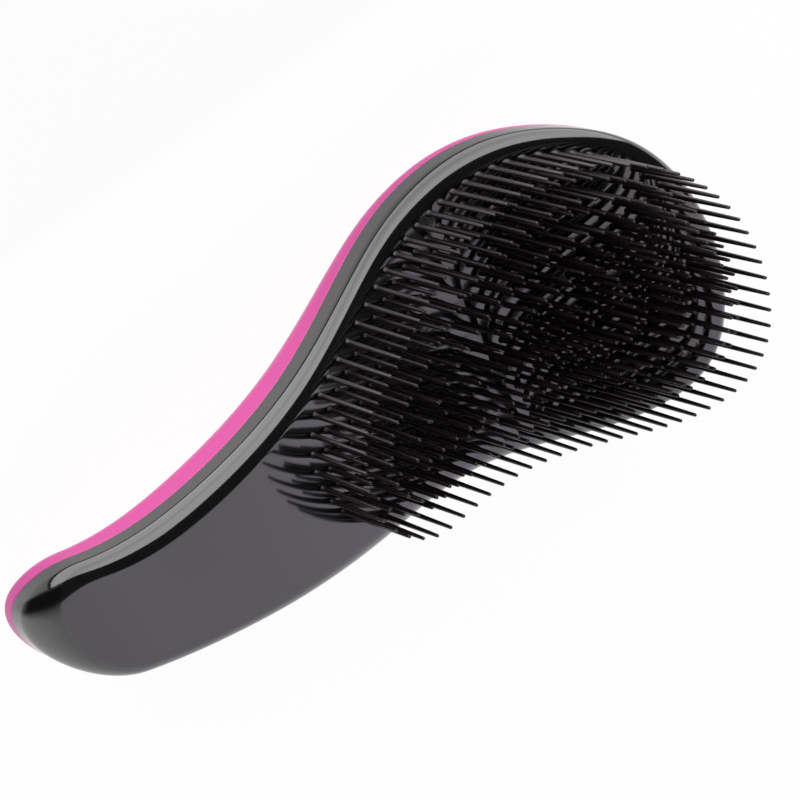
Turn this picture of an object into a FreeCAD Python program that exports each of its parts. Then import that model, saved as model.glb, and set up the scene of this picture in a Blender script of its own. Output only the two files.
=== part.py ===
import FreeCAD, Part
import math
import os

# Detangling brush: a waved body of two moulded shells that meet in a tongue and groove
# seam, and rows of tapered bristles that stand on the face of the head.
# The body is drawn with X from the handle to the head, Y across and Z along the bristles,
# the way both shells leave their moulds, and is then laid on its back on the plane Z = 0.
# Lengths in millimetres, angles in degrees.

doc = FreeCAD.newDocument("detangling_brush")
sheet = doc.addObject("Spreadsheet::Sheet", "sizes")

SIZES = [
    ("body_run", 174.9),             # handle end to head tip along X, on the seam
    ("heel_drop", 13.4),             # handle end below the belly, on the seam
    ("arch_height", 16.6),           # crest of the handle above the belly, on the seam
    ("tip_rise", 31.8),              # head tip above the belly, on the seam
    ("handle_end_width", 31.4),
    ("grip_width", 37.2),
    ("waist_width", 46.2),
    ("shoulder_width", 60.0),
    ("head_width", 80.1),
    ("handle_end_reach", 14.0),      # length of the rounded handle end
    ("head_end_reach", 31.9),        # length of the rounded head end
    ("front_depth", 8.9),            # seam up to the face
    ("heel_back_depth", 8.8),        # seam down to the back at the handle end
    ("grip_back_depth", 11.0),       # the same over the grip and the neck
    ("head_back_depth", 7.7),        # the same over the head
    ("front_rim_radius", 4.6),
    ("back_rim_radius", 6.4),
    ("shell_wall", 2.2),
    ("end_flat", 1.6),               # half width of the small flat where the two sides meet
    ("tongue_inset", 1.1),           # outer wall to the locating tongue
    ("tongue_height", 1.8),
    ("tongue_clearance", 0.12),
    ("field_inset", 5.7),            # outline to the outer row of bristles
    ("field_start", 66.0),           # handle end to the first bristles along X
    ("field_end_reach", 15.0),       # length of the rounded end of the field at the neck
    ("row_gap", 3.95),               # outer row to the next
    ("bristle_pitch", 3.88),         # along a row, before its shares
    ("long_bristle", 21.7),          # face to tip
    ("short_bristle", 16.7),         # face to tip
    ("bristle_foot_diameter", 1.6),  # on the face
    ("bristle_foot_height", 2.0),    # face to the end of the flared foot
    ("bristle_root_diameter", 1.36),  # where the shank leaves the foot
    ("bristle_tip_diameter", 0.84),
    ("bristle_seat_gap", 0.04),      # foot of a bristle to the face
]
for row, (name, value) in enumerate(SIZES, start=1):
    sheet.set("A%d" % row, name)
    sheet.set("B%d" % row, "%g" % value)
    sheet.setAlias("B%d" % row, name)
doc.recompute()


def size(name):
    """Value of one named cell of the sheet."""
    return float(sheet.get(name))


def spline_slopes(stations, values, level_start):
    """Slopes of the smooth cubic through the values, level at its end and level or free at its start."""
    count = len(stations)
    first_rise = (values[1] - values[0]) / (stations[1] - stations[0])
    lower, diagonal, upper, right = [0.0], [2.0], [1.0], [3 * first_rise]
    if level_start:
        diagonal, upper, right = [1.0], [0.0], [0.0]
    for i in range(1, count - 1):
        before = stations[i] - stations[i - 1]
        after = stations[i + 1] - stations[i]
        rise = (values[i] - values[i - 1]) / before
        next_rise = (values[i + 1] - values[i]) / after
        lower.append(1 / before)
        diagonal.append(2 / before + 2 / after)
        upper.append(1 / after)
        right.append(3 * rise / before + 3 * next_rise / after)
    lower.append(0.0)
    diagonal.append(1.0)
    upper.append(0.0)
    right.append(0.0)
    for i in range(1, count):
        factor = lower[i] / diagonal[i - 1]
        diagonal[i] -= factor * upper[i - 1]
        right[i] -= factor * right[i - 1]
    slopes = [0.0] * count
    slopes[-1] = right[-1] / diagonal[-1]
    for i in range(count - 2, -1, -1):
        slopes[i] = (right[i] - upper[i] * slopes[i + 1]) / diagonal[i]
    return slopes


def spline_value(stations, values, slopes, place):
    """Value of that cubic at one place."""
    i = 0
    while i < len(stations) - 2 and place > stations[i + 1]:
        i += 1
    span = stations[i + 1] - stations[i]
    part = (place - stations[i]) / span
    rest = 1 - part
    value = values[i] * rest * rest * (1 + 2 * part) + values[i + 1] * part * part * (1 + 2 * rest)
    return value + span * part * rest * (slopes[i] * rest - slopes[i + 1] * part)


# Side wave: the seam line seen from the side. Places along X are shares of the body's
# run, heights over the belly are shares of the heel drop, the arch and the rise of the head.
RUN_SHARES = [0.0, 0.023, 0.057, 0.114, 0.2, 0.297, 0.429, 0.555, 0.666, 0.772, 0.858, 0.915, 1.0]
HEEL_SHARES = [1.0, 0.47]
ARCH_SHARES = [0.084, 0.56, 0.898, 1.0, 0.774, 0.271, 0.0]
RISE_SHARES = [0.182, 0.585, 0.874, 1.0]
wave_stations = [share * size("body_run") for share in RUN_SHARES]
wave_heights = [-share * size("heel_drop") for share in HEEL_SHARES]
wave_heights += [share * size("arch_height") for share in ARCH_SHARES]
wave_heights += [share * size("tip_rise") for share in RISE_SHARES]
wave_slopes = spline_slopes(wave_stations, wave_heights, False)


def seam_point(along, across, above):
    """Point over the seam at a place along the body, across it and above it."""
    height = spline_value(wave_stations, wave_heights, wave_slopes, along)
    return FreeCAD.Vector(along, across, height + above)


def face_normal(along):
    """Direction square to the face at a place along the body."""
    here = seam_point(along, 0.0, 0.0)
    ahead = seam_point(along + station_gap, 0.0, 0.0)
    return FreeCAD.Vector(here.z - ahead.z, 0, ahead.x - here.x).normalize()


# Outline of the body seen along the bristles: a quarter ellipse at each end and a smooth
# flank between them. One half is kept as points; the other mirrors it.
FLANK_SHARES = [0.0, 0.24, 0.473, 0.705, 0.876, 1.0]
SHOULDER_SHARE = 0.704
FLANK_STEPS = 72
END_STEPS = 22
flank_start = size("handle_end_reach")
flank_end = size("body_run") - size("head_end_reach")
flank_stations = [flank_start + share * (flank_end - flank_start) for share in FLANK_SHARES]
flank_values = [size("handle_end_width") / 2, size("grip_width") / 2, size("waist_width") / 2,
                size("shoulder_width") / 2]
flank_values.append(flank_values[3] + SHOULDER_SHARE * (size("head_width") / 2 - flank_values[3]))
flank_values.append(size("head_width") / 2)
flank_slopes = spline_slopes(flank_stations, flank_values, True)

outline = []
for step in range(END_STEPS):
    turn = math.radians(90 * step / END_STEPS)
    outline.append((flank_start * (1 - math.cos(turn)), flank_values[0] * math.sin(turn)))
for step in range(FLANK_STEPS):
    place = flank_start + (flank_end - flank_start) * step / FLANK_STEPS
    outline.append((place, spline_value(flank_stations, flank_values, flank_slopes, place)))
for step in range(END_STEPS + 1):
    turn = math.radians(90 * step / END_STEPS)
    reach = size("head_end_reach")
    outline.append((flank_end + reach * math.sin(turn), flank_values[-1] * math.cos(turn)))

# Fineness of the outline's stations and of the joints between faces.
STATION_SHARE = 0.0125
SEW_SHARE = 0.00005
station_gap = STATION_SHARE * size("end_flat")
sew_gap = SEW_SHARE * size("shell_wall")


def distance_to(line, along, across):
    """Distance from a point to a half outline."""
    best = None
    for (a0, c0), (a1, c1) in zip(line[:-1], line[1:]):
        da, dc = a1 - a0, c1 - c0
        part = ((along - a0) * da + (across - c0) * dc) / (da * da + dc * dc)
        part = min(max(part, 0.0), 1.0)
        gap = math.hypot(along - a0 - part * da, across - c0 - part * dc)
        if best is None or gap < best:
            best = gap
    return best


def crossing(first, second):
    """Point where the step between two points meets the middle line."""
    part = first[1] / (first[1] - second[1])
    return first[0] + part * (second[0] - first[0]), 0.0


def inset_line(line, distance):
    """Half outline moved inwards by a distance, cut off where it crosses the middle or itself."""
    moved = []
    for i, (along, across) in enumerate(line):
        before = line[max(i - 1, 0)]
        after = line[min(i + 1, len(line) - 1)]
        step_along = after[0] - before[0]
        step_across = after[1] - before[1]
        if i == 0 or i == len(line) - 1:
            step_along = 0.0
        step = math.hypot(step_along, step_across)
        moved.append((along + distance * step_across / step, across - distance * step_along / step))
    inside = []
    for i, point in enumerate(moved):
        if point[1] >= 0:
            if i > 0 and moved[i - 1][1] < 0:
                inside.append(crossing(moved[i - 1], point))
            inside.append(point)
        elif i > 0 and moved[i - 1][1] > 0:
            inside.append(crossing(moved[i - 1], point))
    return [point for point in inside if distance_to(line, *point) > distance - station_gap]


def half_width(line, along):
    """Half width of an inset outline at one place along it."""
    for (a0, c0), (a1, c1) in zip(line[:-1], line[1:]):
        if a0 <= along <= a1:
            return c0 + (c1 - c0) * (along - a0) / (a1 - a0)
    return 0.0


def stations_of(line, flat):
    """Places along an inset outline with their half widths, from one end flat to the other."""
    places = []
    for (a0, c0), (a1, c1) in zip(line[:-1], line[1:]):
        if (c0 < flat) != (c1 < flat):
            part = (flat - c0) / (c1 - c0)
            places.append((a0 + part * (a1 - a0), flat))
        if c1 >= flat and a1 > a0:
            places.append((a1, c1))
    kept = [places[0]]
    for place in places[1:]:
        if place[0] - kept[-1][0] > station_gap or place is places[-1]:
            kept.append(place)
    return kept


# Shell faces: each is one smooth surface over the outline that follows the wave.
DEGREE = 3
WALL_STEPS = 3
FACE_STEPS = 15


def patch_grid(inset, depth_at, radius, base, side):
    """Grid of points over one face of a shell: wall, rounded rim and face, side to side."""
    line = inset_line(outline, inset)
    grid = []
    for along, half in stations_of(line, size("end_flat")):
        depth = depth_at(along) - inset
        section = []
        for step in range(WALL_STEPS):
            section.append((half, base + (depth - radius - base) * step / WALL_STEPS))
        for step in range(FACE_STEPS + 1):
            across = half * math.cos(math.radians(90 * step / FACE_STEPS))
            if step == FACE_STEPS:
                across = 0.0
            inside = distance_to(outline, along, across) - inset
            if step == 0:
                inside = 0.0
            drop = min(max(radius - inside, 0.0), radius)
            section.append((across, depth - radius + math.sqrt(radius * radius - drop * drop)))
        mirrored = [(-across, above) for across, above in reversed(section[:-1])]
        points = []
        for across, above in section + mirrored:
            points.append(seam_point(along, across, side * above))
        grid.append(points)
    return grid


def even_knots(count):
    """Knots and multiplicities of a clamped spline with that many poles."""
    knots = [float(i) for i in range(count - DEGREE + 1)]
    return knots, [DEGREE + 1] + [1] * (len(knots) - 2) + [DEGREE + 1]


def smooth_curve(poles):
    """Edge along a clamped spline that the poles guide."""
    knots, multiplicities = even_knots(len(poles))
    curve = Part.BSplineCurve()
    curve.buildFromPolesMultsKnots(poles, multiplicities, knots, False, DEGREE)
    return curve.toShape()


def smooth_face(grid):
    """Face of a clamped spline surface that a grid of poles guides."""
    knots, multiplicities = even_knots(len(grid))
    cross_knots, cross_multiplicities = even_knots(len(grid[0]))
    surface = Part.BSplineSurface()
    surface.buildFromPolesMultsKnots(grid, multiplicities, cross_multiplicities, knots, cross_knots,
                                     False, False, DEGREE, DEGREE)
    return surface.toShape()


def edge_between(face, start, end):
    """Boundary curve of a patch from one corner to another, as an edge in that direction."""
    for edge in face.Edges:
        first = edge.valueAt(edge.FirstParameter)
        last = edge.valueAt(edge.LastParameter)
        if first.distanceToPoint(start) + last.distanceToPoint(end) < sew_gap:
            return edge.Curve.toShape(edge.FirstParameter, edge.LastParameter)
        if first.distanceToPoint(end) + last.distanceToPoint(start) < sew_gap:
            curve = edge.Curve.toShape(edge.FirstParameter, edge.LastParameter).Curve
            curve.reverse()
            return curve.toShape()
    raise RuntimeError("patch edge not found")


def patch_parts(grid):
    """Face of a grid, its end caps and the loop of four edges along its open side."""
    face = smooth_face(grid)
    corners = [grid[0][0], grid[-1][0], grid[-1][-1], grid[0][-1]]
    loop = [
        edge_between(face, corners[0], corners[1]),
        Part.makeLine(corners[1], corners[2]),
        edge_between(face, corners[3], corners[2]),
        Part.makeLine(corners[0], corners[3]),
    ]
    head_arch = edge_between(face, corners[1], corners[2])
    handle_arch = edge_between(face, corners[0], corners[3])
    caps = [Part.Face(Part.Wire([head_arch, loop[1]])), Part.Face(Part.Wire([handle_arch, loop[3]]))]
    return [face] + caps, loop


def step_loop(inset, above):
    """Loop of four edges along the inset outline at one height over the seam."""
    stations = stations_of(inset_line(outline, inset), size("end_flat"))
    left, right = [], []
    for along, half in stations:
        left.append(seam_point(along, half, above))
        right.append(seam_point(along, -half, above))
    return [smooth_curve(left), Part.makeLine(left[-1], right[-1]), smooth_curve(right),
            Part.makeLine(left[0], right[0])]


def bands_between(loops):
    """Ruled faces that join a row of loops."""
    faces = []
    for loop, after in zip(loops[:-1], loops[1:]):
        for edge, next_edge in zip(loop, after):
            faces.append(Part.makeRuledSurface(edge, next_edge))
    return faces


def closed_solid(faces):
    """Solid bounded by faces that meet edge to edge."""
    sewn = Part.makeCompound(faces)
    sewn.sewShape(sew_gap)
    solid = Part.makeSolid(sewn.Shells[0])
    if solid.Volume < 0:
        solid.reverse()
    return solid


# Front shell: side wall, rounded rim and face, open below, with a rebate for the tongue.
# Back cover: the deeper half, with the tongue that locates it in the front shell.
INNER_RIM_SHARE = 0.1
wall = size("shell_wall")
tongue = size("tongue_height")
clearance = size("tongue_clearance")
rebate_inset = size("tongue_inset") - clearance
rebate_height = tongue + clearance


def inner_radius(radius):
    """Radius inside a rim of one wall thickness, limited where the wall is thick."""
    return max(radius - wall, INNER_RIM_SHARE * radius)


front_depth = size("front_depth")
front_radius = size("front_rim_radius")


def front_depth_at(along):
    """Height of the face over the seam, the same all along."""
    return front_depth


front_outer, front_loop = patch_parts(patch_grid(0.0, front_depth_at, front_radius, 0.0, 1))
front_inner, front_inner_loop = patch_parts(
    patch_grid(wall, front_depth_at, inner_radius(front_radius), rebate_height, 1))
front_bands = bands_between([front_loop, step_loop(rebate_inset, 0.0),
                             step_loop(rebate_inset, rebate_height), front_inner_loop])
front_solid = closed_solid(front_outer + front_inner + front_bands)

BACK_SHARES = [0.0, 0.13, 0.42, 0.69, 1.0]
back_radius = size("back_rim_radius")
back_stations = [share * size("body_run") for share in BACK_SHARES]
back_depths = [size("heel_back_depth"), size("grip_back_depth"), size("grip_back_depth"),
               size("head_back_depth"), size("head_back_depth")]
back_slopes = spline_slopes(back_stations, back_depths, False)


def back_depth_at(along):
    """Depth of the back under the seam at a place along the body."""
    return spline_value(back_stations, back_depths, back_slopes, along)


back_grid = patch_grid(0.0, back_depth_at, back_radius, 0.0, -1)
back_outer, back_loop = patch_parts(back_grid)
back_inner, back_inner_loop = patch_parts(
    patch_grid(wall, back_depth_at, inner_radius(back_radius), -tongue, -1))
back_bands = bands_between([back_loop, step_loop(size("tongue_inset"), 0.0),
                            step_loop(size("tongue_inset"), tongue), back_inner_loop])
back_solid = closed_solid(back_outer + back_inner + back_bands)


# Bristle field: the head's outline moved inwards, closed by a rounded end at the neck.
field_edge = inset_line(outline, size("field_inset"))
field_start = size("field_start")
field_reach = size("field_end_reach")
field = []
for step in range(END_STEPS + 1):
    turn = math.radians(90 * step / END_STEPS)
    place = field_start + field_reach * (1 - math.cos(turn))
    field.append((place, half_width(field_edge, place) * math.sin(turn)))
field += [point for point in field_edge if point[0] > field_start + field_reach]


# Pitch along a row: wide along the flanks of the field, close where the head is widest and
# rises. It is given as shares of the bristle pitch, at shares of the body's run.
PITCH_RUN_SHARES = [0.0, 0.38, 0.48, 0.62, 0.72, 0.8, 0.86, 0.93, 1.0]
PITCH_SHARES = [1.06, 1.06, 1.26, 1.22, 0.93, 0.715, 0.72, 0.9, 1.1]
pitch_stations = [share * size("body_run") for share in PITCH_RUN_SHARES]
pitch_values = [share * size("bristle_pitch") for share in PITCH_SHARES]
pitch_slopes = spline_slopes(pitch_stations, pitch_values, True)


def line_pitches(line):
    """Number of pitches along a half line from its first point to each of its points."""
    reach = [0.0]
    for (a0, c0), (a1, c1) in zip(line[:-1], line[1:]):
        pitch = spline_value(pitch_stations, pitch_values, pitch_slopes, (a0 + a1) / 2)
        reach.append(reach[-1] + math.hypot(a1 - a0, c1 - c0) / pitch)
    return reach


MIDDLE_SHARE = 0.4


def row_places(line, shift):
    """Places round a closed row, given its half line: whole pitches from the middle line at
    the neck to the middle line at the tip, or half a pitch on from them, and their mirror
    images, with one on the middle line where the two would crowd each other."""
    reach = line_pitches(line)
    count = max(int(round(reach[-1])), 1)
    places = []
    for i in range(count + 1 if shift == 0 else count):
        along_row = (i + shift) * reach[-1] / count
        k = 0
        while k < len(reach) - 2 and reach[k + 1] < along_row:
            k += 1
        part = (along_row - reach[k]) / (reach[k + 1] - reach[k])
        along = line[k][0] + part * (line[k + 1][0] - line[k][0])
        across = line[k][1] + part * (line[k + 1][1] - line[k][1])
        if across > MIDDLE_SHARE * size("bristle_pitch"):
            places += [(along, across), (along, -across)]
        else:
            places.append((along, 0.0))
    return places


# Rows: the outer row runs along the edge of the field and the innermost half row is as long
# as one pitch. The second row lies a row gap inside the first, and the others share the
# rest of the way evenly.
ROW_COUNT = 9
CORE_ROW_SHARE = 1.0
HALVINGS = 20


def core_inset():
    """Distance from the edge of the field to the innermost row."""
    low, high = 0.0, max(distance_to(field, along, 0.0) for along, across in field)
    for halving in range(HALVINGS):
        middle = (low + high) / 2
        line = inset_line(field, middle)
        if len(line) > 1 and line_pitches(line)[-1] > CORE_ROW_SHARE:
            low = middle
        else:
            high = middle
    return low


inner_gap = (core_inset() - size("row_gap")) / (ROW_COUNT - 2)
row_insets = [0.0] + [size("row_gap") + i * inner_gap for i in range(ROW_COUNT - 1)]
rows = []
for number, inset in enumerate(row_insets):
    rows.append(row_places(inset_line(field, inset), number % 2 / 2))


# One bristle of each length, upright on the face point at the origin: a flared foot, a
# tapered shank and a rounded tip. The foot runs on below the face until it is cut to the slope.
def bound_object(kind, name, bindings):
    """Document object whose properties follow cells of the sheet."""
    made = doc.addObject(kind, name)
    for target, expression in bindings:
        made.setExpression(target, expression)
    return made


def bristle_pattern(name):
    """Bristle as long as the cell of that name."""
    foot = bound_object("Part::Cone", name + "_foot", [
        ("Radius1", "sizes.bristle_foot_diameter - sizes.bristle_root_diameter / 2"),
        ("Radius2", "sizes.bristle_root_diameter / 2"),
        ("Height", "2 * sizes.bristle_foot_height"),
        ("Placement.Base.z", "-sizes.bristle_foot_height")])
    shank = bound_object("Part::Cone", name + "_shank", [
        ("Radius1", "sizes.bristle_root_diameter / 2"),
        ("Radius2", "sizes.bristle_tip_diameter / 2"),
        ("Height", "sizes.%s - sizes.bristle_tip_diameter / 2 - sizes.bristle_foot_height" % name),
        ("Placement.Base.z", "sizes.bristle_foot_height")])
    tip = bound_object("Part::Sphere", name + "_tip", [
        ("Radius", "sizes.bristle_tip_diameter / 2"),
        ("Placement.Base.z", "sizes.%s - sizes.bristle_tip_diameter / 2" % name)])
    whole = doc.addObject("Part::MultiFuse", name + "_pattern")
    whole.Shapes = [foot, shank, tip]
    return whole


patterns = [bristle_pattern("long_bristle"), bristle_pattern("short_bristle")]
doc.recompute()

foot_reach = size("bristle_foot_height") + size("bristle_foot_diameter")
below_face = Part.makeBox(2 * foot_reach, 2 * foot_reach, foot_reach,
                          FreeCAD.Vector(-foot_reach, -foot_reach, -foot_reach))


def seated_bristle(pattern, along, across):
    """Bristle with its foot cut to the slope of the face and set on its place."""
    trim = below_face.copy()
    trim.Placement = FreeCAD.Placement(
        FreeCAD.Vector(), FreeCAD.Rotation(FreeCAD.Vector(0, 0, 1), face_normal(along)))
    seat = seam_point(along, across, front_depth + size("bristle_seat_gap"))
    return pattern.Shape.cut(trim).Solids[0].translated(seat)


row_shapes = []
for number, places in enumerate(rows):
    pattern = patterns[number % 2]
    row_shapes.append(Part.makeCompound([seated_bristle(pattern, *place) for place in places]))

# Resting tilt: the brush lies on the heel of the handle and on the belly of the head, the
# two places of the back's middle line that a straight edge under the brush would touch.
keel = [points[len(points) // 2] for points in back_grid]
belly_place = RUN_SHARES[8] * size("body_run")
heel_line = [point for point in keel if point.x < belly_place / 2]
belly_line = [point for point in keel if point.x >= belly_place / 2]
REST_TURNS = 4
rest_slope = 0.0
for turn in range(REST_TURNS):
    heel = min(heel_line, key=lambda point: point.z - rest_slope * point.x)
    belly = min(belly_line, key=lambda point: point.z - rest_slope * point.x)
    rest_slope = (belly.z - heel.z) / (belly.x - heel.x)
rest_turn = FreeCAD.Rotation(FreeCAD.Vector(0, 1, 0), math.degrees(math.atan(rest_slope)))

# Document objects, laid down together so that the frame's origin is under the middle of
# the whole brush, on the plane it lies on.
named_shapes = [("front_shell", front_solid), ("back_cover", back_solid)]
for number, shape in enumerate(row_shapes, start=1):
    named_shapes.append(("bristle_row_%02d" % number, shape))
boxes = []
for name, shape in named_shapes:
    laid = shape.copy()
    laid.Placement = FreeCAD.Placement(FreeCAD.Vector(), rest_turn)
    boxes.append(laid.optimalBoundingBox(False, False))
low_end = min(box.XMin for box in boxes)
high_end = max(box.XMax for box in boxes)
floor_level = min(box.ZMin for box in boxes)
origin_shift = FreeCAD.Vector(-(low_end + high_end) / 2, 0, -floor_level)
pieces = []
for name, shape in named_shapes:
    piece = doc.addObject("Part::Feature", name)
    piece.Label = name
    piece.Shape = shape
    piece.Placement = FreeCAD.Placement(origin_shift, rest_turn)
    pieces.append(piece)
doc.recompute()

for item in doc.Objects:
    if "Invalid" in item.State or "Error" in item.State:
        raise RuntimeError("failed: " + item.Label)
for piece in pieces:
    if piece.Shape.isNull() or not piece.Shape.isValid():
        raise RuntimeError("bad shape: " + piece.Label)

os.makedirs("parts", exist_ok=True)
for piece in pieces:
    piece.Shape.exportStep("parts/%s.step" % piece.Label)
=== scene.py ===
import bmesh
import bpy
import numpy as np
from mathutils import Matrix


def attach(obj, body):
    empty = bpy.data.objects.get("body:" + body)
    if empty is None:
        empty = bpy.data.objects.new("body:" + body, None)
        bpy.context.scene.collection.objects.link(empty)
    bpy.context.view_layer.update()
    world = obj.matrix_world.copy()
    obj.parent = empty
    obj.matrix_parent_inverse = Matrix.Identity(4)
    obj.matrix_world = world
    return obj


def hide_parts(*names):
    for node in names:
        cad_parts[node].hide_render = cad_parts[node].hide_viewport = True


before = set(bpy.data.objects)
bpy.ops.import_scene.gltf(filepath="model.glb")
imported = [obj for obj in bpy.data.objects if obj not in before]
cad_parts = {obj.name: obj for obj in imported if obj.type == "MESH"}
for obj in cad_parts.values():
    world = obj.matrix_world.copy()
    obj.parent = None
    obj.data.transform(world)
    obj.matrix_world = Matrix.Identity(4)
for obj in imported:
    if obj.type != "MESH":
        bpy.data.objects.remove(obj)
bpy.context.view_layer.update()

# Front shell: one moulding in glossy black ABS that makes the handle and the face of the
# head, and carries the bristles. Its seam edge is chamfered by a hair, so that a fine line
# shows where it meets the back cover. Sizes are in millimetres, as moulded, X along the brush.
BODY_RUN = 174.9
HEEL_DROP, ARCH_HEIGHT, TIP_RISE = 13.4, 16.6, 31.8
HANDLE_END_REACH, HEAD_END_REACH = 14.0, 31.9
HANDLE_END_WIDTH, GRIP_WIDTH, WAIST_WIDTH = 31.4, 37.2, 46.2
SHOULDER_WIDTH, HEAD_WIDTH, HEAD_SWELL = 60.0, 80.1, 0.704
FLANK_SHARES = np.array([0, .24, .473, .705, .876, 1])
FRONT_DEPTH, FRONT_RIM_RADIUS, SHELL_WALL = 8.9, 4.6, 2.2
SEAM_CHAMFER = 0.14
END_STEPS, FLANK_STEPS = 64, 190
OUTER_FACE_STEPS, INNER_WALL_STEPS, INNER_FACE_STEPS = 56, 2, 12
REST_TILT = np.radians(4.7489)
REST_SHIFT = np.array([-87.9985, 0.0, 17.5093])
MILLIMETRE = 0.001
WELD_GAP, SLIVER_SIZE, CREASE_ANGLE = 2e-6, 1e-7, np.radians(32)


def cubic_slopes(stations, values, level_start):
    """Slopes of the C2 cubic through the values: level at the end, level or free at the start."""
    gaps = np.diff(stations)
    rises = np.diff(values) / gaps
    count = len(stations)
    system = np.zeros((count, count))
    right = np.zeros(count)
    system[0, :2] = (1.0, 0.0) if level_start else (2.0, 1.0)
    right[0] = 0.0 if level_start else 3.0 * rises[0]
    inner = np.arange(1, count - 1)
    system[inner, inner - 1] = 1.0 / gaps[:-1]
    system[inner, inner] = 2.0 / gaps[:-1] + 2.0 / gaps[1:]
    system[inner, inner + 1] = 1.0 / gaps[1:]
    right[inner] = 3.0 * rises[:-1] / gaps[:-1] + 3.0 * rises[1:] / gaps[1:]
    system[-1, -1] = 1.0
    return np.linalg.solve(system, right)


def cubic(stations, values, slopes, places):
    """Hermite cubic with p the part of a span and r = 1 - p: values weighted by r^2 (1 + 2p)
    and p^2 (1 + 2r), and slopes by p r times r or p."""
    span = np.clip(np.searchsorted(stations, places) - 1, 0, len(stations) - 2)
    gap = stations[span + 1] - stations[span]
    part = (places - stations[span]) / gap
    rest = 1.0 - part
    level = (values[span] * rest ** 2 * (1 + 2 * part)
             + values[span + 1] * part ** 2 * (1 + 2 * rest))
    return level + gap * part * rest * (slopes[span] * rest - slopes[span + 1] * part)


wave_stations = BODY_RUN * np.array(
    [0, .023, .057, .114, .2, .297, .429, .555, .666, .772, .858, .915, 1])
wave_heights = np.concatenate([
    -HEEL_DROP * np.array([1, .47]),
    ARCH_HEIGHT * np.array([.084, .56, .898, 1, .774, .271, 0]),
    TIP_RISE * np.array([.182, .585, .874, 1])])
wave_slopes = cubic_slopes(wave_stations, wave_heights, False)


def seam_height(along):
    """Height of the seam line over the belly at places along the brush."""
    return cubic(wave_stations, wave_heights, wave_slopes, along)


def body_outline(end_steps, flank_steps):
    """Half outline seen along the bristles: quarter ellipse, cubic flank, quarter ellipse."""
    start, end = HANDLE_END_REACH, BODY_RUN - HEAD_END_REACH
    halves = 0.5 * np.array(
        [HANDLE_END_WIDTH, GRIP_WIDTH, WAIST_WIDTH, SHOULDER_WIDTH, 0.0, HEAD_WIDTH])
    halves[4] = halves[3] + HEAD_SWELL * (halves[5] - halves[3])
    stations = start + (end - start) * FLANK_SHARES
    turn = np.linspace(0, np.pi / 2, end_steps + 1)
    flank = np.linspace(start, end, flank_steps + 1)[:-1]
    width = cubic(stations, halves, cubic_slopes(stations, halves, True), flank)
    along = np.concatenate(
        [start * (1 - np.cos(turn[:-1])), flank, end + HEAD_END_REACH * np.sin(turn)])
    across = np.concatenate([halves[0] * np.sin(turn[:-1]), width, halves[5] * np.cos(turn)])
    return np.stack([along, np.maximum(across, 0.0)], axis=1)


def moved_inwards(line, distance):
    """Half outline moved square to itself by a distance; its ends move along the middle."""
    steps = np.concatenate([line[1:2] - line[:1], line[2:] - line[:-2], line[-1:] - line[-2:-1]])
    steps[[0, -1], 0] = 0.0
    steps /= np.hypot(steps[:, 0], steps[:, 1])[:, None]
    return line + distance * np.stack([steps[:, 1], -steps[:, 0]], axis=1)


def edge_distance(line, along, across):
    """Least distance from points to the half outline, taken over all its straight steps."""
    start, step = line[:-1], np.diff(line, axis=0)
    length = (step ** 2).sum(axis=1)
    best = np.empty(along.shape)
    for i in range(len(along)):
        gap = np.stack([along[i], across[i]], axis=1)[:, None] - start
        part = np.clip((gap * step).sum(axis=2) / length, 0, 1)
        best[i] = np.sqrt(((gap - part[..., None] * step) ** 2).sum(axis=2).min(axis=1))
    return best


outline = body_outline(END_STEPS, FLANK_STEPS)


def shell_surface(inset, depth, radius, side, wall_steps, face_steps, chamfer=0.0):
    """Grid over a shell, one section for each outline point: a straight wall up from the seam,
    a rim that follows sqrt(r^2 - (r - d)^2) with the distance d from the edge, then the face."""
    line = moved_inwards(outline, inset)
    edge = moved_inwards(outline, inset + chamfer)
    half = line[:, 1:2]
    deep = np.broadcast_to(depth(line[:, 0]) - inset, len(line))[:, None]
    climb = np.linspace(0, 1, wall_steps + 1)[:-1]
    wall = chamfer + (deep - radius - chamfer) * climb
    turn = np.linspace(0, np.pi / 2, face_steps + 1)
    across = half * np.cos(turn)
    across[:, -1] = 0.0
    along = np.repeat(line[:, :1], face_steps + 1, axis=1)
    inside = edge_distance(outline, along, across) - inset
    inside[:, 0] = 0.0
    drop = np.clip(radius - inside, 0.0, radius)
    face = deep - radius + np.sqrt(radius ** 2 - drop ** 2)
    xs = np.concatenate([edge[:, :1], np.repeat(line[:, :1], wall_steps, axis=1), along], axis=1)
    ys = np.concatenate([edge[:, 1:], np.repeat(half, wall_steps, axis=1), across], axis=1)
    zs = np.concatenate([np.zeros_like(half), wall, face], axis=1)
    zs = seam_height(xs) + side * zs
    points = np.stack([xs, ys, zs], axis=2)
    mirrored = points[:, -2::-1] * (1, -1, 1)
    return np.concatenate([points, mirrored], axis=1)


def laid_down(points):
    """As moulded, in millimetres, to lying at rest, in metres: a turn about Y and a shift."""
    cos, sin = np.cos(REST_TILT), np.sin(REST_TILT)
    x, y, z = np.moveaxis(points, -1, 0)
    turned = np.stack([x * cos + z * sin, y, z * cos - x * sin], axis=-1)
    return (turned + REST_SHIFT) * MILLIMETRE


def grid_quads(rows, columns, first):
    """Corner numbers of the quads of a grid of points that starts at a number."""
    corner = first + np.arange(rows * columns).reshape(rows, columns)
    quads = np.stack(
        [corner[:-1, :-1], corner[1:, :-1], corner[1:, 1:], corner[:-1, 1:]], axis=-1)
    return quads.reshape(-1, 4)


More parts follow.
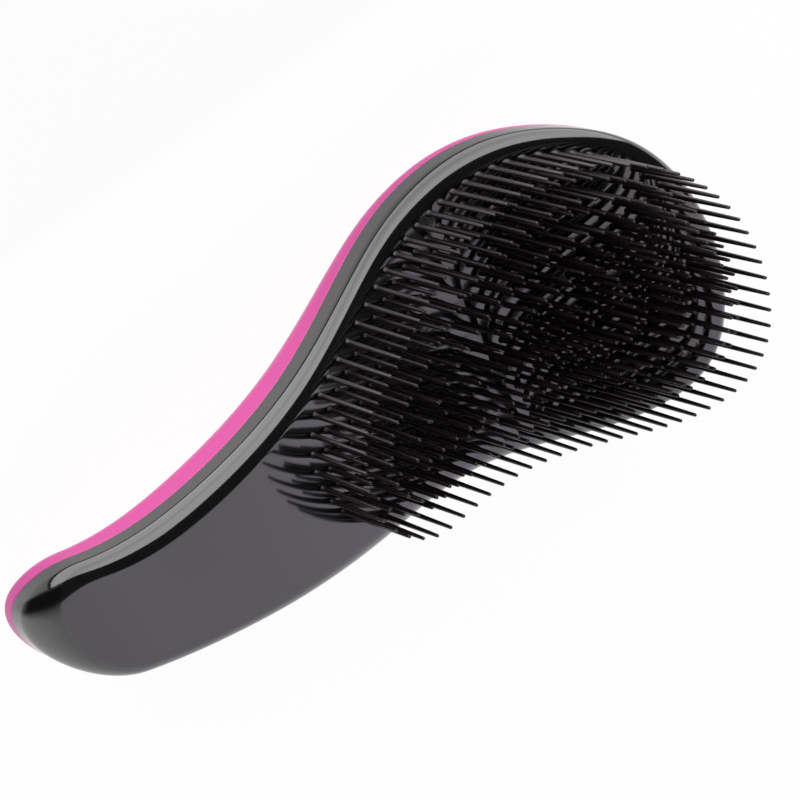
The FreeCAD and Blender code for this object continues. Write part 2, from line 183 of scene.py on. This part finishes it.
def shell_mesh(name, outer, inner):
    """Closed shell: an outer grid, an inner grid and the two strips that join their edges."""
    rows, wide, narrow = len(outer), outer.shape[1], inner.shape[1]
    points = np.concatenate([outer.reshape(-1, 3), inner.reshape(-1, 3)])
    numbers = np.arange(len(points))
    out = numbers[:rows * wide].reshape(rows, wide)
    into = numbers[rows * wide:].reshape(rows, narrow)
    quads = [grid_quads(rows, wide, 0), grid_quads(rows, narrow, rows * wide)]
    for edge in (0, -1):
        quads.append(np.stack(
            [out[:-1, edge], out[1:, edge], into[1:, edge], into[:-1, edge]], axis=1))
    mesh = bpy.data.meshes.new(name)
    mesh.from_pydata(laid_down(points).tolist(), [], np.concatenate(quads).tolist())
    work = bmesh.new()
    work.from_mesh(mesh)
    bmesh.ops.remove_doubles(work, verts=work.verts, dist=WELD_GAP)
    bmesh.ops.dissolve_degenerate(work, edges=work.edges, dist=SLIVER_SIZE)
    bmesh.ops.recalc_face_normals(work, faces=work.faces)
    work.to_mesh(mesh)
    work.free()
    mesh.shade_smooth()
    mesh.set_sharp_from_angle(angle=CREASE_ANGLE)
    piece = bpy.data.objects.new(name, mesh)
    bpy.context.scene.collection.objects.link(piece)
    return piece


def linear(hex_colour):
    """sRGB hex to linear RGBA: c / 12.92 below 0.04045, else ((c + 0.055) / 1.055) ^ 2.4."""
    value = np.array([int(hex_colour[i:i + 2], 16) for i in (1, 3, 5)]) / 255
    light = np.where(value <= 0.04045, value / 12.92, ((value + 0.055) / 1.055) ** 2.4)
    return (*[float(channel) for channel in light], 1.0)


def add_node(tree, kind, settings=(), links=()):
    """Node with property or socket settings, and links from output sockets to its inputs."""
    node = tree.nodes.new(kind)
    for key, value in dict(settings).items():
        if isinstance(key, str) and hasattr(node, key):
            setattr(node, key, value)
        else:
            node.inputs[key].default_value = value
    for key, source in dict(links).items():
        tree.links.new(source, node.inputs[key])
    return node


def new_material(name):
    """Empty node material with its output node."""
    material = bpy.data.materials.new(name)
    material.use_nodes = True
    material.node_tree.nodes.clear()
    return material, material.node_tree, add_node(material.node_tree, "ShaderNodeOutputMaterial")


# ABS, injection moulded in a polished tool: mirror-like with a slight haze. Handling leaves a
# haze that comes and goes over about 14 mm, hairline rub marks about 20 mm long run along the
# brush, drawn 0.9 mm wide so that they show, and the surface has a faint sink and flow waviness
# of about 9 mm with a fine skin on it. A coat gives the black one its deeper, clearer gloss.
HAZE_SIZE, RUB_LENGTH, RUB_WIDTH, FLOW_SIZE, SKIN_SIZE = 0.014, 0.020, 0.0009, 0.009, 0.0006
RUB_ROUGHNESS, SKIN_SHARE, WAVINESS, COAT_ROUGHNESS = 0.05, 0.02, 2.0e-6, 0.07


def moulded_abs(name, dark, light, polish, haze, ior, coat):
    """Tint and roughness that drift with the haze, rub marks added to the roughness, and a bump
    that is the flow waviness plus a small share of the skin."""
    material, tree, output = new_material(name)
    place = add_node(tree, "ShaderNodeTexCoord").outputs["Object"]
    hazing = add_node(tree, "ShaderNodeTexNoise", {"Scale": 1 / HAZE_SIZE, "Detail": 3.0},
                      {"Vector": place})
    stretch = add_node(tree, "ShaderNodeMapping",
                       {"Scale": (1 / RUB_LENGTH, 1 / RUB_WIDTH, 1 / RUB_WIDTH)},
                       {"Vector": place})
    rubs = add_node(tree, "ShaderNodeTexNoise", {"Scale": 1.0, "Detail": 2.0},
                    {"Vector": stretch.outputs["Vector"]})
    rub_marks = add_node(tree, "ShaderNodeMapRange",
                         {"From Min": 0.62, "From Max": 0.75, "To Min": 0.0,
                          "To Max": RUB_ROUGHNESS},
                         {"Value": rubs.outputs["Fac"]})
    hazed = add_node(tree, "ShaderNodeMapRange",
                     {"From Min": 0.3, "From Max": 0.7, "To Min": polish, "To Max": haze},
                     {"Value": hazing.outputs["Fac"]})
    rough = add_node(tree, "ShaderNodeMath", {"operation": "ADD"},
                     {0: hazed.outputs["Result"], 1: rub_marks.outputs["Result"]})
    flow = add_node(tree, "ShaderNodeTexNoise", {"Scale": 1 / FLOW_SIZE, "Detail": 1.0},
                    {"Vector": place})
    skin = add_node(tree, "ShaderNodeTexNoise", {"Scale": 1 / SKIN_SIZE, "Detail": 2.0},
                    {"Vector": place})
    both = add_node(tree, "ShaderNodeMath", {"operation": "MULTIPLY_ADD", 1: SKIN_SHARE},
                    {0: skin.outputs["Fac"], 2: flow.outputs["Fac"]})
    relief = add_node(tree, "ShaderNodeBump", {"Strength": 1.0, "Distance": WAVINESS},
                      {"Height": both.outputs["Value"]})
    tint = add_node(tree, "ShaderNodeMix", {"data_type": "RGBA", 6: dark, 7: light},
                    {0: hazing.outputs["Fac"]})
    shader = add_node(tree, "ShaderNodeBsdfPrincipled",
                      {"IOR": ior, "Coat Weight": coat, "Coat Roughness": COAT_ROUGHNESS},
                      {"Base Color": tint.outputs[2], "Roughness": rough.outputs["Value"],
                       "Normal": relief.outputs["Normal"]})
    tree.links.new(shader.outputs["BSDF"], output.inputs["Surface"])
    return material


def front_depth(along):
    """Depth of the face over the seam, the same all along the brush."""
    return np.full_like(along, FRONT_DEPTH)


front = shell_mesh(
    "black_front_shell",
    shell_surface(0.0, front_depth, FRONT_RIM_RADIUS, 1, 6, OUTER_FACE_STEPS, SEAM_CHAMFER),
    shell_surface(SHELL_WALL, front_depth, FRONT_RIM_RADIUS - SHELL_WALL, 1,
                  INNER_WALL_STEPS, INNER_FACE_STEPS))
front.data.materials.append(moulded_abs(
    "polished_black_abs", linear("#070708"), linear("#0a0a0b"), 0.09, 0.13, 1.55, 0.9))
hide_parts("front_shell")
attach(front, "root")

# Back cover: the second moulding, hot pink ABS from a polished tool. It closes the body
# from behind, is deepest over the grip and the neck, and has a softer, larger rim.
HEEL_BACK_DEPTH, GRIP_BACK_DEPTH, HEAD_BACK_DEPTH, BACK_RIM_RADIUS = 8.8, 11.0, 7.7, 6.4
back_stations = BODY_RUN * np.array([0, .13, .42, .69, 1])
back_depths = np.array(
    [HEEL_BACK_DEPTH, GRIP_BACK_DEPTH, GRIP_BACK_DEPTH, HEAD_BACK_DEPTH, HEAD_BACK_DEPTH])
back_slopes = cubic_slopes(back_stations, back_depths, False)


def back_depth(along):
    """Depth of the back under the seam at places along the brush."""
    return cubic(back_stations, back_depths, back_slopes, along)


back = shell_mesh(
    "pink_back_cover",
    shell_surface(0.0, back_depth, BACK_RIM_RADIUS, -1, 4, OUTER_FACE_STEPS, SEAM_CHAMFER),
    shell_surface(SHELL_WALL, back_depth, BACK_RIM_RADIUS - SHELL_WALL, -1,
                  INNER_WALL_STEPS, INNER_FACE_STEPS))
back.data.materials.append(moulded_abs(
    "polished_pink_abs", linear("#e444a6"), linear("#e94aaa"), 0.16, 0.22, 1.54, 0.0))
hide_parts("back_cover")
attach(back, "root")

# Bristles: tapered black nylon pins with rounded tips and a flared foot, moulded with the
# face. The rows follow the edge of the head; every other row is staggered by half a pitch
# and is shorter. Each foot spreads a little where it meets the face.
FIELD_INSET, FIELD_START, FIELD_END_REACH = 5.7, 66.0, 15.0
ROW_GAP, CORE_INSET, ROW_COUNT = 3.95, 32.06, 9
ROW_END_STEPS, ROW_FLANK_STEPS, LINE_FINENESS = 22, 72, 0.02
BRISTLE_PITCH, MIDDLE_CROWDING = 3.88, 0.4
LONG_BRISTLE, SHORT_BRISTLE = 21.7, 16.7
FOOT_RADIUS, FOOT_HEIGHT, ROOT_RADIUS, TIP_RADIUS = 0.8, 2.0, 0.68, 0.42
FOOT_SPREAD, FOOT_SUNK, SPREAD_HEIGHT = 1.3, -0.05, 0.22
TIP_WIDTHS = np.array([1.0, 0.95, 0.78, 0.5, 0.0])
TIP_DROPS = np.array([0.9, 0.5, 0.2, 0.06, 0.0])
BRISTLE_SIDES, SLOPE_STEP = 8, 0.1
pitch_stations = BODY_RUN * np.array([0, .38, .48, .62, .72, .8, .86, .93, 1])
pitch_values = BRISTLE_PITCH * np.array([1.06, 1.06, 1.26, 1.22, .93, .715, .72, .9, 1.1])
pitch_slopes = cubic_slopes(pitch_stations, pitch_values, True)


def row_line(line, distance):
    """Half outline moved inwards, kept over the middle line and where it doesn't cross itself."""
    moved = moved_inwards(line, distance)
    first, second = moved[:-1], moved[1:]
    crosses = np.flatnonzero(first[:, 1] * second[:, 1] < 0)
    part = first[crosses, 1] / (first[crosses, 1] - second[crosses, 1])
    on_middle = first[crosses, 0] + part * (second[crosses, 0] - first[crosses, 0])
    kept = np.insert(moved, crosses + 1, np.stack([on_middle, 0 * on_middle], axis=1), axis=0)
    kept = kept[kept[:, 1] >= 0]
    clear = edge_distance(line, kept[None, :, 0], kept[None, :, 1])[0]
    return kept[clear > distance - LINE_FINENESS]


def row_places(line, shift):
    """Places round a closed row by whole pitches from middle line to middle line, mirrored, with
    one on the middle line where two would crowd. The pitch is a cubic of the place along."""
    step = np.hypot(*np.diff(line, axis=0).T)
    centre = (line[1:, 0] + line[:-1, 0]) / 2
    pitch = cubic(pitch_stations, pitch_values, pitch_slopes, centre)
    reach = np.concatenate([[0], np.cumsum(step / pitch)])
    count = max(int(round(reach[-1])), 1)
    walked = (np.arange(count + (shift == 0)) + shift) * reach[-1] / count
    places = np.stack(
        [np.interp(walked, reach, line[:, 0]), np.interp(walked, reach, line[:, 1])], axis=1)
    beside = places[:, 1] > MIDDLE_CROWDING * BRISTLE_PITCH
    return np.concatenate([places[beside], places[beside] * (1, -1), places[~beside] * (1, 0)])


def bristle_points(places, length):
    """Rings round each place: two at the foot that lean with the slope of the face, then level
    ones at the top of the foot, at the end of the taper and over the rounded tip."""
    radius = np.concatenate(
        [FOOT_RADIUS * np.array([FOOT_SPREAD, 1.0]), [ROOT_RADIUS], TIP_RADIUS * TIP_WIDTHS])
    height = np.concatenate(
        [[FOOT_SUNK, SPREAD_HEIGHT, FOOT_HEIGHT], length - TIP_RADIUS * TIP_DROPS])
    lean = np.where(np.arange(len(radius)) < 2, 1, 0)
    turn = np.linspace(0, 2 * np.pi, BRISTLE_SIDES, endpoint=False)
    dx = radius[:, None] * np.cos(turn)
    dy = radius[:, None] * np.sin(turn)
    along = places[:, 0]
    slope = (seam_height(along + SLOPE_STEP) - seam_height(along - SLOPE_STEP)) / (2 * SLOPE_STEP)
    base = seam_height(along) + FRONT_DEPTH
    xs = places[:, 0, None, None] + dx
    ys = places[:, 1, None, None] + dy
    zs = base[:, None, None] + height[:, None] + slope[:, None, None] * lean[:, None] * dx
    return np.stack([xs, ys, zs], axis=-1)


def bristle_row(name, places, length):
    """One mesh for a row: a tube of quads for each bristle, closed at the foot and at the tip."""
    points = bristle_points(places, length)
    count, rings = points.shape[:2]
    corner = np.arange(count * rings * BRISTLE_SIDES).reshape(count, rings, BRISTLE_SIDES)
    beside = np.roll(corner, -1, axis=2)
    quads = np.stack(
        [corner[:, :-1], beside[:, :-1], beside[:, 1:], corner[:, 1:]], axis=-1).reshape(-1, 4)
    feet = corner[:, 0, ::-1]
    mesh = bpy.data.meshes.new(name)
    mesh.from_pydata(
        laid_down(points.reshape(-1, 3)).tolist(), [], quads.tolist() + feet.tolist())
    work = bmesh.new()
    work.from_mesh(mesh)
    bmesh.ops.remove_doubles(work, verts=work.verts, dist=SLIVER_SIZE)
    work.to_mesh(mesh)
    work.free()
    mesh.shade_smooth()
    piece = bpy.data.objects.new(name, mesh)
    bpy.context.scene.collection.objects.link(piece)
    return piece


# Nylon, moulded: black with a brown cast where light gets through the thin pins, satin.
# A grain of about 0.4 mm breaks the shine, and the tone drifts over about 6 mm.
DRIFT_SIZE, GRAIN_SIZE, GRAIN_DEPTH = 0.006, 0.0004, 1.0e-5


def moulded_nylon(name):
    """Tint that drifts along the rows, with a grain in the roughness and in the bump."""
    material, tree, output = new_material(name)
    place = add_node(tree, "ShaderNodeTexCoord").outputs["Object"]
    drift = add_node(tree, "ShaderNodeTexNoise", {"Scale": 1 / DRIFT_SIZE, "Detail": 2.0},
                     {"Vector": place})
    grain = add_node(tree, "ShaderNodeTexNoise", {"Scale": 1 / GRAIN_SIZE, "Detail": 2.0},
                     {"Vector": place})
    tint = add_node(tree, "ShaderNodeMix",
                    {"data_type": "RGBA", 6: linear("#150e10"), 7: linear("#20161a")},
                    {0: drift.outputs["Fac"]})
    rough = add_node(tree, "ShaderNodeMapRange", {"To Min": 0.24, "To Max": 0.34},
                     {"Value": grain.outputs["Fac"]})
    relief = add_node(tree, "ShaderNodeBump", {"Strength": 0.4, "Distance": GRAIN_DEPTH},
                      {"Height": grain.outputs["Fac"]})
    shader = add_node(tree, "ShaderNodeBsdfPrincipled", {"IOR": 1.53},
                      {"Base Color": tint.outputs[2], "Roughness": rough.outputs["Result"],
                       "Normal": relief.outputs["Normal"]})
    tree.links.new(shader.outputs["BSDF"], output.inputs["Surface"])
    return material


nylon = moulded_nylon("moulded_black_nylon")
field_edge = row_line(body_outline(ROW_END_STEPS, ROW_FLANK_STEPS), FIELD_INSET)
neck_turn = np.linspace(0, np.pi / 2, ROW_END_STEPS + 1)
neck_along = FIELD_START + FIELD_END_REACH * (1 - np.cos(neck_turn))
neck_across = np.interp(neck_along, field_edge[:, 0], field_edge[:, 1]) * np.sin(neck_turn)
beyond = field_edge[field_edge[:, 0] > FIELD_START + FIELD_END_REACH]
field = np.concatenate([np.stack([neck_along, neck_across], axis=1), beyond])
row_insets = np.concatenate([[0], np.linspace(ROW_GAP, CORE_INSET, ROW_COUNT - 1)])
for number, inset in enumerate(row_insets):
    places = row_places(row_line(field, inset), number % 2 / 2)
    length = SHORT_BRISTLE if number % 2 else LONG_BRISTLE
    row = bristle_row("bristles_row_%02d" % (number + 1), places, length)
    row.data.materials.append(nylon)
    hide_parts("bristle_row_%02d" % (number + 1))
    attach(row, "root")

# Studio table: a round top in matt white paper. It reads as white to the eye, paler grey in
# the gloss of the brush, and keeps a faint shadow. Sizes from here on are in metres.
TABLE_RADIUS, TABLE_SIDES, TABLE_HEIGHT = 2.5, 96, -0.0003
PAPER_GLOW, SEEN_SHARE, MIRRORED_SHARE = 1.05, 0.9, 0.65
turn = np.linspace(0, 2 * np.pi, TABLE_SIDES, endpoint=False)
ring = np.stack(
    [TABLE_RADIUS * np.cos(turn), TABLE_RADIUS * np.sin(turn), 0 * turn + TABLE_HEIGHT], axis=1)
table_mesh = bpy.data.meshes.new("table_top")
table_mesh.from_pydata(ring.tolist(), [], [list(range(TABLE_SIDES))])
table = bpy.data.objects.new("table_top", table_mesh)
bpy.context.scene.collection.objects.link(table)
paper, tree, output = new_material("matt_white_paper")
path = add_node(tree, "ShaderNodeLightPath")
in_gloss = add_node(tree, "ShaderNodeMath", {"operation": "MAXIMUM"},
                    {0: path.outputs["Is Glossy Ray"], 1: path.outputs["Is Transmission Ray"]})
mirrored = add_node(tree, "ShaderNodeMath", {"operation": "MULTIPLY", 1: MIRRORED_SHARE},
                    {0: in_gloss.outputs["Value"]})
seen = add_node(tree, "ShaderNodeMath", {"operation": "MULTIPLY", 1: SEEN_SHARE},
                {0: path.outputs["Is Camera Ray"]})
share = add_node(tree, "ShaderNodeMath", {"operation": "MAXIMUM"},
                 {0: seen.outputs["Value"], 1: mirrored.outputs["Value"]})
matt = add_node(tree, "ShaderNodeBsdfDiffuse", {"Color": linear("#f4f4f4")})
glow = add_node(tree, "ShaderNodeEmission", {"Color": (1, 1, 1, 1), "Strength": PAPER_GLOW})
both = add_node(tree, "ShaderNodeMixShader", (),
                {0: share.outputs["Value"], 1: matt.outputs[0], 2: glow.outputs[0]})
tree.links.new(both.outputs[0], output.inputs["Surface"])
table_mesh.materials.append(paper)

# Studio room: white to the eye beyond the table, and dim to the brush, whose rim mirrors the
# dark room overhead as a dark band.
ROOM_LEVEL = 0.06
world = bpy.data.worlds.new("studio_room")
bpy.context.scene.world = world
world.use_nodes = True
tree = world.node_tree
tree.nodes.clear()
path = add_node(tree, "ShaderNodeLightPath")
room = add_node(tree, "ShaderNodeBackground", {"Color": (1, 1, 1, 1), "Strength": ROOM_LEVEL})
white = add_node(tree, "ShaderNodeBackground", {"Color": (1, 1, 1, 1), "Strength": 1.0})
pick = add_node(tree, "ShaderNodeMixShader", (),
                {0: path.outputs["Is Camera Ray"], 1: room.outputs[0], 2: white.outputs[0]})
add_node(tree, "ShaderNodeOutputWorld", (), {"Surface": pick.outputs[0]})

# Lamps: a wide soft box over the right side that the handle mirrors, dimmer at its foot, and
# one on the left that lights the pink side. A slanted white card on the left is there for the
# gloss alone: the rim mirrors it as the light band.
COOL_WHITE, WARM_WHITE = (0.93, 0.87, 1.0), (1.0, 0.98, 0.98)


def soft_box(name, centre, target, size, radiance, colour, foot=(1.0, 1.0),
             lights_matt=True, mirrored=True):
    """Area lamp of a width and height that faces its target. Its power is radiance x pi x area.
    Its light rises from a share at the foot to the full level at a share of the height."""
    width, height = size
    foot_share, foot_reach = foot
    lamp = bpy.data.lights.new(name, "AREA")
    lamp.shape = "RECTANGLE"
    lamp.size, lamp.size_y = width, height
    lamp.energy = float(radiance * np.pi * width * height)
    lamp.color = colour
    lamp.use_nodes = True
    tree = lamp.node_tree
    tree.nodes.clear()
    place = add_node(tree, "ShaderNodeNewGeometry").outputs["Parametric"]
    split = add_node(tree, "ShaderNodeSeparateXYZ", (), {0: place})
    fall = add_node(tree, "ShaderNodeMapRange", {"From Max": foot_reach, "To Min": foot_share},
                    {"Value": split.outputs["Y"]})
    glow = add_node(tree, "ShaderNodeEmission", (), {"Strength": fall.outputs["Result"]})
    add_node(tree, "ShaderNodeOutputLight", (), {"Surface": glow.outputs[0]})
    away = np.array(centre) - np.array(target)
    away = away / np.linalg.norm(away)
    side = np.cross((0.0, 0.0, 1.0), away)
    side = side / np.linalg.norm(side)
    holder = bpy.data.objects.new(name, lamp)
    turned = np.eye(4)
    turned[:3] = np.stack([side, np.cross(away, side), away, centre], axis=1)
    holder.matrix_world = Matrix(turned.tolist())
    holder.visible_camera = False
    holder.visible_diffuse = lights_matt
    holder.visible_glossy = mirrored
    bpy.context.scene.collection.objects.link(holder)


soft_box("right_soft_box", (-0.2, -0.75, 0.95), (-0.2, 0.0, 0.95), (4.4, 1.9), 1.24,
         COOL_WHITE, (0.74, 0.6))
soft_box("left_soft_box", (0.15, 0.2880, 0.3015), (0.15, -0.5273, 0.8805), (1.5, 0.7322), 1.42,
         WARM_WHITE, mirrored=False)
soft_box("left_card", (0.3279, 0.3401, 0.3015), (0.4892, -0.4563, 0.8805), (1.0815, 0.7322), 3.3,
         WARM_WHITE, (0.55, 0.1), lights_matt=False)

# Dark sheets seen only in the gloss, unseen by the camera, by matt light and by shadow: painted
# reflections.
# A black lip along the card's lower edge paints a fine dark line into the rim's reflection,
# standing in for the unlit gap between the table and the card. A sheet that fans out over the
# table from the handle's end paints the shade of the handle's end on the table into the gloss,
# which ends the light band in a dark spot.
# The fan's edges fade out.
LIP_CORNERS = [(-0.16, 0.0187, 0.003), (0.9, 0.2255, 0.003),
               (0.9, 0.239, 0.004), (-0.16, 0.0247, 0.004)]
FAN_START, FAN_FROM, FAN_TO = (-0.086, 0.007), np.radians(160.0), np.radians(208.0)
FAN_NEAR, FAN_FAR, FAN_LIFT = 0.005, 2.3, 0.001
FAN_RAYS, FAN_RINGS, FAN_SIDE_FADE, FAN_NEAR_FADE = 25, 41, 0.3, 0.24


def painted_reflection_sheet(name, points, quads, cover, colour):
    """Sheet that only gloss sees, a painted reflection, from points and quads, as dense as its
    cover at each point.
    """
    mesh = bpy.data.meshes.new(name)
    mesh.from_pydata(points, [], quads)
    mesh.attributes.new("cover", "FLOAT", "POINT").data.foreach_set("value", cover)
    cloth = bpy.data.objects.new(name, mesh)
    bpy.context.scene.collection.objects.link(cloth)
    cloth.visible_camera = cloth.visible_diffuse = cloth.visible_shadow = False
    material, tree, output = new_material("matt_" + name)
    share = add_node(tree, "ShaderNodeAttribute", {"attribute_name": "cover"})
    clear = add_node(tree, "ShaderNodeBsdfTransparent")
    matt = add_node(tree, "ShaderNodeBsdfDiffuse", {"Color": linear(colour)})
    faded = add_node(tree, "ShaderNodeMixShader", (),
                     {0: share.outputs["Fac"], 1: clear.outputs[0], 2: matt.outputs[0]})
    tree.links.new(faded.outputs[0], output.inputs["Surface"])
    mesh.materials.append(material)


def eased(share):
    """Ease from 0 to 1: 3 s^2 - 2 s^3, with s kept between 0 and 1."""
    share = np.clip(share, 0.0, 1.0)
    return 3 * share ** 2 - 2 * share ** 3


# Painted dark line: the rim mirrors this black lip, which stands in for the unlit gap between the
# table and the card.
painted_reflection_sheet("painted_dark_line_lip", LIP_CORNERS, [(0, 1, 2, 3)], np.ones(4), "#080808")
round_share, out_share = np.meshgrid(
    np.linspace(0, 1, FAN_RAYS), np.linspace(0, 1, FAN_RINGS), indexing="ij")
fan_angle = FAN_FROM + (FAN_TO - FAN_FROM) * round_share
fan_reach = FAN_NEAR * (FAN_FAR / FAN_NEAR) ** out_share
fan_points = np.stack([FAN_START[0] + fan_reach * np.cos(fan_angle),
                       FAN_START[1] + fan_reach * np.sin(fan_angle),
                       np.full_like(fan_reach, FAN_LIFT)], axis=-1)
fan_cover = (eased(round_share / FAN_SIDE_FADE) * eased((1 - round_share) / FAN_SIDE_FADE)
             * eased(out_share / FAN_NEAR_FADE))
# Painted shade: this sheet, seen only in the gloss, stands in for the shade of the handle's end
# on the table.
painted_reflection_sheet("painted_shade_fan", fan_points.reshape(-1, 3).tolist(),
               grid_quads(FAN_RAYS, FAN_RINGS, 0).tolist(), fan_cover.ravel(), "#3c3c3c")

# Camera: at the photograph's viewing angle, with a long lens, found by fitting the brush's
# own outlines. The first three rows are its right, its up and its back, the last its place.
SENSOR_WIDTH, LENS, SIGHT = 36.0, 157.5, 20.0
CAMERA_STAND = np.array([
    (0.77221233, -0.41517011, 0.48095936),
    (0.56616918, 0.79317143, -0.22434693),
    (-0.28834108, 0.44554783, 0.84755327),
    (-0.21884827, 0.35252458, 0.69430071)])
camera_data = bpy.data.cameras.new("camera")
camera_data.sensor_fit = "HORIZONTAL"
camera_data.sensor_width = SENSOR_WIDTH
camera_data.lens = LENS
camera_data.clip_end = SIGHT
camera = bpy.data.objects.new("camera", camera_data)
stand = np.eye(4)
stand[:3] = CAMERA_STAND.T
camera.matrix_world = Matrix(stand.tolist())
bpy.context.scene.collection.objects.link(camera)
bpy.context.scene.camera = camera
bpy.context.scene.view_settings.view_transform = "Standard"
